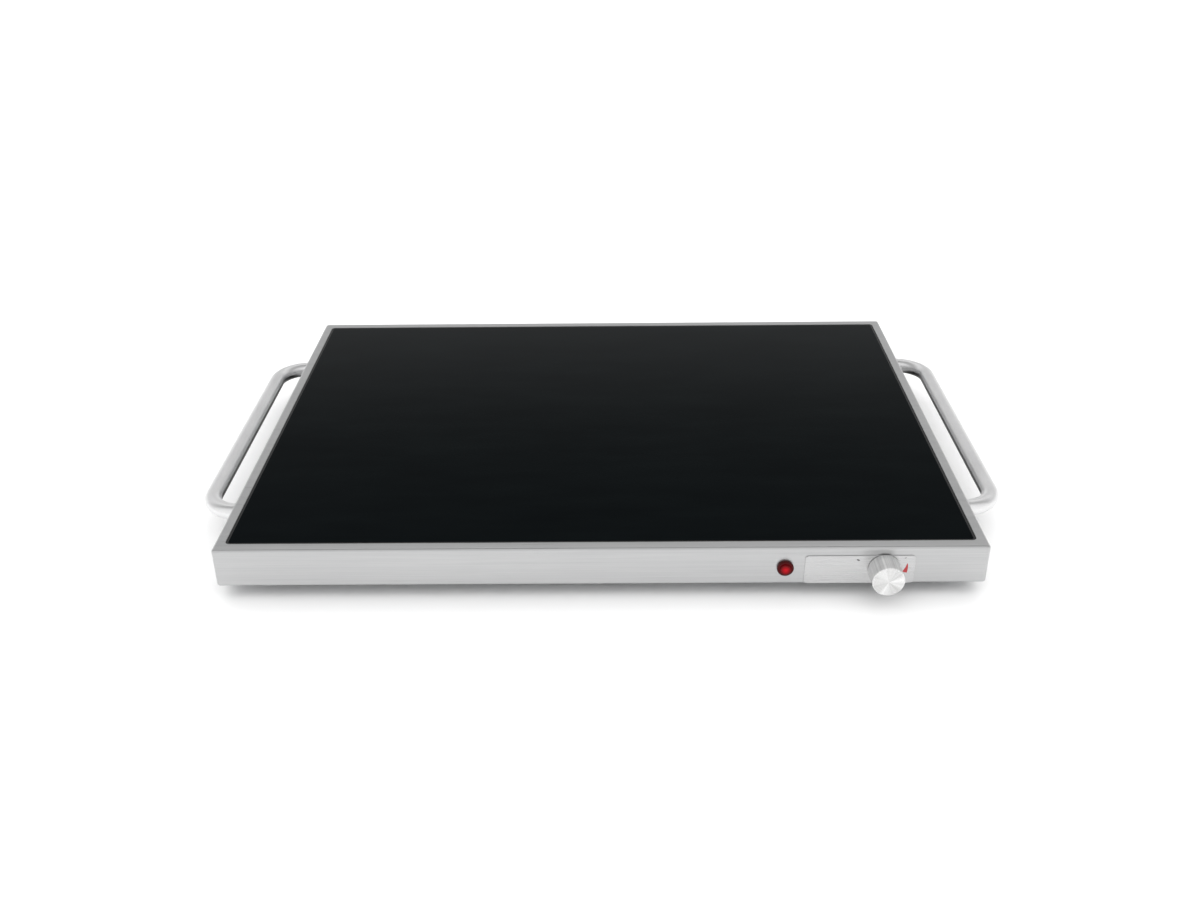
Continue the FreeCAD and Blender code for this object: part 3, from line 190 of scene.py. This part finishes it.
def silicone():
    """Black silicone, dull with a fine skin."""
    finish, shader = new_finish("black_silicone", (0.006, 0.006, 0.006), 0.5, 0.0,
                                {"Specular IOR Level": 0.3})
    where = position(finish)
    skin = grain(finish, where, (0.002, 0.002, 0.002), 3.0)
    feed(finish, tint(finish, skin, (0.004, 0.004, 0.004), (0.010, 0.010, 0.010)), shader,
         "Base Color")
    relief(finish, shader, skin, 0.00003, 0.5)
    return finish


wear("glass_seal", silicone())


# Side handles: round stainless tube bent to a D, satin polished, plugged at both ends and screwed
# on from inside the apron.

def satin_tube():
    """Tube polished with a soft wheel, with a dark reflection painted on its inner and lower side."""
    finish, shader = new_finish("satin_tube", (0.72, 0.72, 0.71), 0.40, 1.0)
    where = position(finish)
    fine = grain(finish, where, (0.0012, 0.0012, 0.0012), 4.0)
    cloud = grain(finish, where, (0.03, 0.03, 0.03), 2.0)
    marks = blended(finish, fine, cloud)
    faces = facing(finish)
    to_tray = stage_in(finish, "VectorMath", {0: where, 1: (-1, 0, 0)}, operation="MULTIPLY").outputs[0]
    inward = stage_in(finish, "VectorMath", {0: to_tray}, operation="NORMALIZE").outputs[0]
    turned_in = stage_in(finish, "VectorMath", {0: faces, 1: inward},
                         operation="DOT_PRODUCT").outputs["Value"]
    turned_up = stage_in(finish, "SeparateXYZ", {0: faces}).outputs["Z"]
    toward_tray_and_down = stage_in(finish, "Math", {0: turned_in, 1: turned_up}, operation="SUBTRACT").outputs[0]
    polished = tint(finish, marks, (0.72, 0.72, 0.725), (0.82, 0.82, 0.82))
    # Painted reflection: a dark band painted on the side of the tube that faces the tray and the floor.
    painted_dark_reflection = tint(finish, marks, (0.035, 0.035, 0.035), (0.06, 0.06, 0.06))
    painted_reflection_share = between(finish, toward_tray_and_down, 0.0, 1.0, 0.62, 0.92)
    feed(finish, blended_colour(finish, polished, painted_dark_reflection, painted_reflection_share), shader, "Base Color")
    feed(finish, between(finish, marks, 0.36, 0.46), shader, "Roughness")
    relief(finish, shader, fine, 0.00001, 0.4)
    return finish


tube_finish = satin_tube()
wear("handle_left", tube_finish)
wear("handle_right", tube_finish)


# Control plate: thin stainless sheet with rounded corners, brushed finer than the frame. It is
# stuck to the front apron, and the knob's spindle passes through it.

def fine_brushed():
    """Finer and brighter brushing than the frame's."""
    finish, shader = new_finish("fine_brushed", (0.72, 0.72, 0.72), 0.30, 1.0, {"Anisotropic": 0.4})
    where = position(finish)
    fine = grain(finish, where, (0.03, 0.0003, 0.0003), 4.0)
    feed(finish, tint(finish, fine, (0.49, 0.49, 0.495), (0.57, 0.57, 0.57)), shader, "Base Color")
    feed(finish, between(finish, fine, 0.24, 0.34), shader, "Roughness")
    relief(finish, shader, fine, 0.00001, 0.5)
    tangent = stage_in(finish, "Tangent", direction_type="RADIAL", axis="X")
    feed(finish, tangent.outputs[0], shader, "Tangent")
    return finish


wear("control_plate", fine_brushed())


# Dial marks: a dark tick where the knob's travel starts, a fainter one on the right and a red wedge
# under that. They are screen printed on the control plate in thick ink.

def ink(name, colour):
    """Matt printing ink with a faint mottle."""
    finish, shader = new_finish(name, colour, 0.6)
    mottle = grain(finish, position(finish), (0.0004, 0.0004, 0.0004), 3.0)
    feed(finish, tint(finish, mottle, [0.8 * c for c in colour], [1.2 * c for c in colour]), shader,
         "Base Color")
    relief(finish, shader, mottle, 0.00001, 0.4)
    return finish


def axis_of(node):
    """X and Z of the middle of a round piece whose axis runs front to back."""
    low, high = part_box(node)
    return (low.x + high.x) / 2, (low.z + high.z) / 2


dial_x, dial_z = axis_of("thermostat_spindle")
plate_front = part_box("control_plate")[0].y
ink_depth = 0.00004


def printed(name, outline, finish):
    """A thin raised print on the control plate, from its outline in X and Z."""
    shape = bmesh.new()
    front = [shape.verts.new((x, plate_front - ink_depth, z)) for x, z in outline]
    back = [shape.verts.new((x, plate_front, z)) for x, z in outline]
    shape.faces.new(front)
    shape.faces.new(back[::-1])
    for here in range(len(outline)):
        there = (here + 1) % len(outline)
        shape.faces.new((front[there], front[here], back[here], back[there]))
    bmesh.ops.recalc_face_normals(shape, faces=shape.faces)
    mesh = bpy.data.meshes.new(name)
    shape.to_mesh(mesh)
    shape.free()
    mesh.materials.append(finish)
    piece = bpy.data.objects.new(name, mesh)
    bpy.context.scene.collection.objects.link(piece)
    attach(piece, "tray")


def on_dial(radius, angle):
    """A point on the plate at a radius, clockwise from the top, round the knob's axis."""
    return (dial_x + radius * math.sin(angle), dial_z + radius * math.cos(angle))


def tick(name, radius, degrees, length, width, finish):
    """A tick with round ends that points at the axis."""
    middle = math.radians(degrees)
    half = width / 2
    outline = []
    end_steps = 8
    for end, first in ((1, -90), (-1, 90)):
        for step in range(end_steps + 1):
            turn = math.radians(first + 180 / end_steps * step)
            along = end * (length / 2 - half) + half * math.cos(turn)
            aside = half * math.sin(turn)
            x, z = on_dial(radius + along, middle)
            outline.append((x + aside * math.cos(middle), z - aside * math.sin(middle)))
    printed(name, outline, finish)


black_ink = ink("black_ink", (0.045, 0.040, 0.045))
grey_ink = ink("grey_ink", (0.20, 0.19, 0.20))
red_ink = ink("red_ink", (0.42, 0.035, 0.04))
tick("dial_tick_start", 0.0219, -69.2, 0.0024, 0.0011, black_ink)
tick("dial_tick_end", 0.0184, 58.8, 0.0017, 0.0006, grey_ink)

wedge_turns = [math.radians(76 + 3 * step) for step in range(10)]
wedge_radius, wedge_tip, wedge_growth = 0.0184, 0.0005, 0.0004
outer_arc = [on_dial(wedge_radius, turn) for turn in wedge_turns]
inner_arc = [on_dial(wedge_radius - wedge_tip - wedge_growth * step, turn)
             for step, turn in enumerate(wedge_turns)]
printed("dial_wedge", outer_arc + inner_arc[::-1], red_ink)


# Knob: turned from aluminium bar, with a bevelled edge and a spun face. A moulded insert inside
# it is pushed on the thermostat's spindle, and a spring keeps it tight.

def round_axis(finish, where, node):
    """From a round piece's axis to a point: in full, and its part square to the axis."""
    x, z = axis_of(node)
    from_axis = stage_in(finish, "VectorMath", {0: where, 1: (x, 0, z)},
                         operation="SUBTRACT").outputs[0]
    apart = stage_in(finish, "SeparateXYZ", {0: from_axis}).outputs
    flat = stage_in(finish, "CombineXYZ", {"X": apart["X"], "Z": apart["Z"]}).outputs[0]
    return from_axis, flat


def length(finish, way):
    """How long an arrow is."""
    return stage_in(finish, "VectorMath", {0: way}, operation="LENGTH").outputs["Value"]


def turned_aluminium():
    """Aluminium with tool marks in rings, bright wedges of reflection painted on the face, and painted
    reflection streaks round the sides.
    """
    finish, shader = new_finish("turned_aluminium", (0.82, 0.82, 0.82), 0.25, 1.0,
                                {"Anisotropic": 0.6})
    from_axis, flat = round_axis(finish, position(finish), "thermostat_spindle")
    along = stage_in(finish, "SeparateXYZ", {0: from_axis}).outputs["Y"]
    rings_at = stage_in(finish, "CombineXYZ", {"X": length(finish, flat), "Y": along}).outputs[0]
    rings = grain(finish, rings_at, (0.0003, 0.0003, 1.0), 3.0)
    outward = stage_in(finish, "VectorMath", {0: flat}, operation="NORMALIZE").outputs[0]
    # Painted reflection: bright wedges painted on the face, and light and dark bands painted round the
    # side, which also vary its roughness.
    painted_face_highlights = grain(finish, outward, (0.55, 0.55, 0.55), 1.0)
    painted_sheen_streaks = grain(finish, outward, (0.10, 0.10, 0.10), 2.0)
    ahead = stage_in(finish, "SeparateXYZ", {0: facing(finish)}).outputs["Y"]
    forward = -0.8
    is_face = stage_in(finish, "Math", {0: ahead, 1: forward}, operation="LESS_THAN").outputs[0]
    face = tint(finish, blended(finish, rings, painted_face_highlights, 0.8), (0.48, 0.48, 0.475), (0.80, 0.80, 0.80))
    side = tint(finish, blended(finish, rings, painted_sheen_streaks, 0.75), (0.62, 0.62, 0.62), (0.98, 0.98, 0.97))
    feed(finish, blended_colour(finish, side, face, is_face), shader, "Base Color")
    face_polish = between(finish, rings, 0.18, 0.30)
    side_polish = between(finish, painted_sheen_streaks, 0.30, 0.50)
    feed(finish, blended(finish, side_polish, face_polish, is_face), shader, "Roughness")
    relief(finish, shader, rings, 0.00001, 0.5)
    round_about = stage_in(finish, "VectorMath", {0: from_axis, 1: (0, 1, 0)},
                           operation="CROSS_PRODUCT").outputs[0]
    feed(finish, round_about, shader, "Tangent")
    return finish


wear("knob", turned_aluminium())


# Indicator lens: a clear red moulding with a flange, pushed into the lamp's body from the front of
# the apron. A small neon bulb lights it from behind.

def red_lens():
    """Clear red moulding, painted dark as shade in its flange ring, and painted bright and glowing at
    its middle for the neon behind it.
    """
    finish, shader = new_finish("red_lens", (0.35, 0.004, 0.012), 0.12, 0.0,
                                {"Specular IOR Level": 0.12, "Emission Strength": 1.0})
    where = position(finish)
    flat = round_axis(finish, where, "indicator_lens")[1]
    milky = grain(finish, where, (0.002, 0.002, 0.002), 2.0)
    uneven = stage_in(finish, "Math", {0: length(finish, flat),
                                       1: between(finish, milky, -0.0002, 0.0002)},
                      operation="ADD").outputs[0]
    # Painted light and shade: the middle is painted bright red and glows for the neon, and the flange
    # ring round it is painted dark as shade.
    lit_radius, dark_radius = 0.0034, 0.0040
    for socket, middle, painted_shade_ring in (("Base Color", (0.40, 0.001, 0.006), (0.010, 0.0005, 0.0005)),
                                 ("Emission Color", (0.16, 0.001, 0.004), (0.0, 0.0, 0.0))):
        feed(finish, tint(finish, uneven, middle, painted_shade_ring, lit_radius, dark_radius), shader, socket)
    return finish


wear("indicator_lens", red_lens())


# Feet: four tapered rubber mouldings, each held to the base plate by a screw, washer and nut.

def plain(name, colour, roughness, metallic, size, spread=0.15, depth=0.00002):
    """A finish with a fine even speckle."""
    finish, shader = new_finish(name, colour, roughness, metallic)
    speck = grain(finish, position(finish), (size, size, size), 3.0)
    feed(finish, tint(finish, speck, [c * (1 - spread) for c in colour],
                      [min(1, c * (1 + spread)) for c in colour]), shader, "Base Color")
    feed(finish, between(finish, speck, roughness * 0.85, roughness * 1.15), shader, "Roughness")
    relief(finish, shader, speck, depth, 0.5)
    return finish


rubber = plain("foot_rubber", (0.018, 0.018, 0.018), 0.7, 0.0, 0.0008)
for foot in ("foot_front_left", "foot_rear_left", "foot_front_right", "foot_rear_right"):
    wear(foot, rubber)


# Base plate, fastenings and inner pieces: pressed sheet, screws, insulation, element, thermostat and
# terminals as such a product has them. Each kind of material has one finish.

inner_finishes = {
    "zinc_steel": ("zinc_plate", (0.60, 0.60, 0.60), 0.32, 1.0, 0.001),
    "galvanised_steel": ("galvanised", (0.52, 0.53, 0.54), 0.42, 1.0, 0.006),
    "black_plastic": ("black_moulding", (0.02, 0.02, 0.02), 0.5, 0.0, 0.0006),
    "terminal_brass": ("brass", (0.72, 0.60, 0.35), 0.3, 1.0, 0.001),
    "copper": ("copper", (0.75, 0.42, 0.28), 0.35, 1.0, 0.001),
    "ceramic": ("steatite", (0.86, 0.84, 0.78), 0.6, 0.0, 0.001),
    "white_nylon": ("nylon", (0.82, 0.82, 0.80), 0.45, 0.0, 0.001),
    "mineral_wool": ("mineral_wool", (0.62, 0.57, 0.42), 0.95, 0.0, 0.0012, 0.4, 0.0006),
    "reflector_steel": ("aluminised", (0.75, 0.76, 0.78), 0.2, 1.0, 0.01),
    "spreader_aluminium": ("mill_aluminium", (0.72, 0.72, 0.74), 0.35, 1.0, 0.002),
    "element_sheath": ("sheath", (0.20, 0.18, 0.17), 0.45, 1.0, 0.004),
    "bulb_glass": ("bulb_glass", (0.9, 0.7, 0.55), 0.08, 0.0, 0.003),
    "wire_silicone": ("wire_insulation", (0.35, 0.33, 0.32), 0.5, 0.0, 0.002),
}
by_slot = {slot: plain(*values) for slot, values in inner_finishes.items()}
for row in frame["record"]["subparts"]:
    if row["material_slot"] in by_slot:
        wear(row["node"], by_slot[row["material_slot"]])


# Wires: stranded copper in coloured silicone sleeves, crimped to tabs. The earth wire's sleeve is
# green with a yellow stripe.

wire_colours = {"wire_live": (0.18, 0.07, 0.03), "wire_neutral": (0.03, 0.10, 0.38),
                "wire_cutout": (0.45, 0.03, 0.03), "wire_switched": (0.03, 0.03, 0.03)}
for wire, colour in wire_colours.items():
    wear(wire, plain(wire + "_sleeve", colour, 0.45, 0.0, 0.002))


def striped_sleeve():
    """Green silicone, yellow along its upper side."""
    finish, shader = new_finish("earth_sleeve", (0.10, 0.35, 0.06), 0.45)
    up = stage_in(finish, "SeparateXYZ", {0: facing(finish)}).outputs["Z"]
    skin = grain(finish, position(finish), (0.002, 0.002, 0.002), 3.0)
    edge = stage_in(finish, "Math", {0: up, 1: between(finish, skin, -0.05, 0.05)}, operation="ADD")
    feed(finish, tint(finish, edge.outputs[0], (0.06, 0.30, 0.05), (0.75, 0.62, 0.04), 0.10, 0.14),
         shader, "Base Color")
    relief(finish, shader, skin, 0.00002, 0.5)
    return finish


wear("wire_earth", striped_sleeve())


# Studio: a plain pale floor, a broad soft sky, a light above for the floor, and the camera at the
# photograph's place.

def studio_floor():
    """A pale floor that reaches past the camera's view."""
    mesh = bpy.data.meshes.new("floor")
    reach = 30
    mesh.from_pydata([(-reach, -reach, 0), (reach, -reach, 0), (reach, reach, 0), (-reach, reach, 0)],
                     [], [(0, 1, 2, 3)])
    floor = bpy.data.objects.new("floor", mesh)
    bpy.context.scene.collection.objects.link(floor)
    finish, shader = new_finish("floor_paper", (0.9, 0.9, 0.9), 0.9)
    paper = grain(finish, position(finish), (0.5, 0.5, 0.5), 2.0)
    feed(finish, tint(finish, paper, (0.89, 0.89, 0.89), (0.91, 0.91, 0.91)), shader, "Base Color")
    mesh.materials.append(finish)


studio_floor()


def studio_sky():
    """Soft light in long bands: bright in front, dark overhead, bright, dim, and bright behind."""
    world = bpy.data.worlds.new("studio")
    bpy.context.scene.world = world
    world.use_nodes = True
    backdrop = world.node_tree.nodes["Background"]
    outward = stage_in(world, "TexCoord").outputs["Generated"]
    way = stage_in(world, "SeparateXYZ", {0: outward}).outputs
    front = stage_in(world, "Math", {0: way["Y"], 1: -1.0}, operation="MULTIPLY").outputs[0]
    roll = stage_in(world, "Math", {0: way["Z"], 1: front}, operation="ARCTAN2").outputs[0]
    share = stage_in(world, "Math", {0: roll, 1: math.pi}, operation="DIVIDE").outputs[0]
    ramp = stage_in(world, "ValToRGB", {"Fac": share})
    bands = [(0.0, 1.0), (0.15, 1.1), (0.38, 1.1), (0.45, 0.22), (0.58, 0.25), (0.66, 1.25),
             (0.755, 1.25), (0.80, 0.34), (0.845, 0.36), (0.885, 0.80), (0.92, 1.2), (1.0, 1.0)]
    full = 1.3
    stops = ramp.color_ramp.elements
    while len(stops) < len(bands):
        stops.new(0.5)
    for stop, (place, level) in zip(stops, bands):
        stop.position = place
        stop.color = (level / full, level / full, level / full, 1)
    feed(world, ramp.outputs["Color"], backdrop, "Color")
    backdrop.inputs["Strength"].default_value = full


studio_sky()


def high_light():
    """A wide light straight above for the floor. It stays out of the polished pieces' reflections."""
    data = bpy.data.lights.new("high_light", "SUN")
    data.angle = math.radians(100)
    data.energy = 2.1
    light = bpy.data.objects.new("high_light", data)
    light.visible_glossy = False
    bpy.context.scene.collection.objects.link(light)


high_light()

camera_data = bpy.data.cameras.new("camera")
camera_data.lens = 36.969
camera_data.sensor_width = 36
camera = bpy.data.objects.new("camera", camera_data)
bpy.context.scene.collection.objects.link(camera)
swing, look_down, lean = 0.5186, 28.4716, -0.6007
turn = (Matrix.Rotation(math.radians(swing), 4, "Z")
        @ Matrix.Rotation(math.radians(90 - look_down), 4, "X")
        @ Matrix.Rotation(math.radians(lean), 4, "Z"))
camera.matrix_world = Matrix.Translation((0.008, -1.01103, 0.56312)) @ turn
bpy.context.scene.camera = camera
bpy.context.scene.view_settings.view_transform = "Standard"
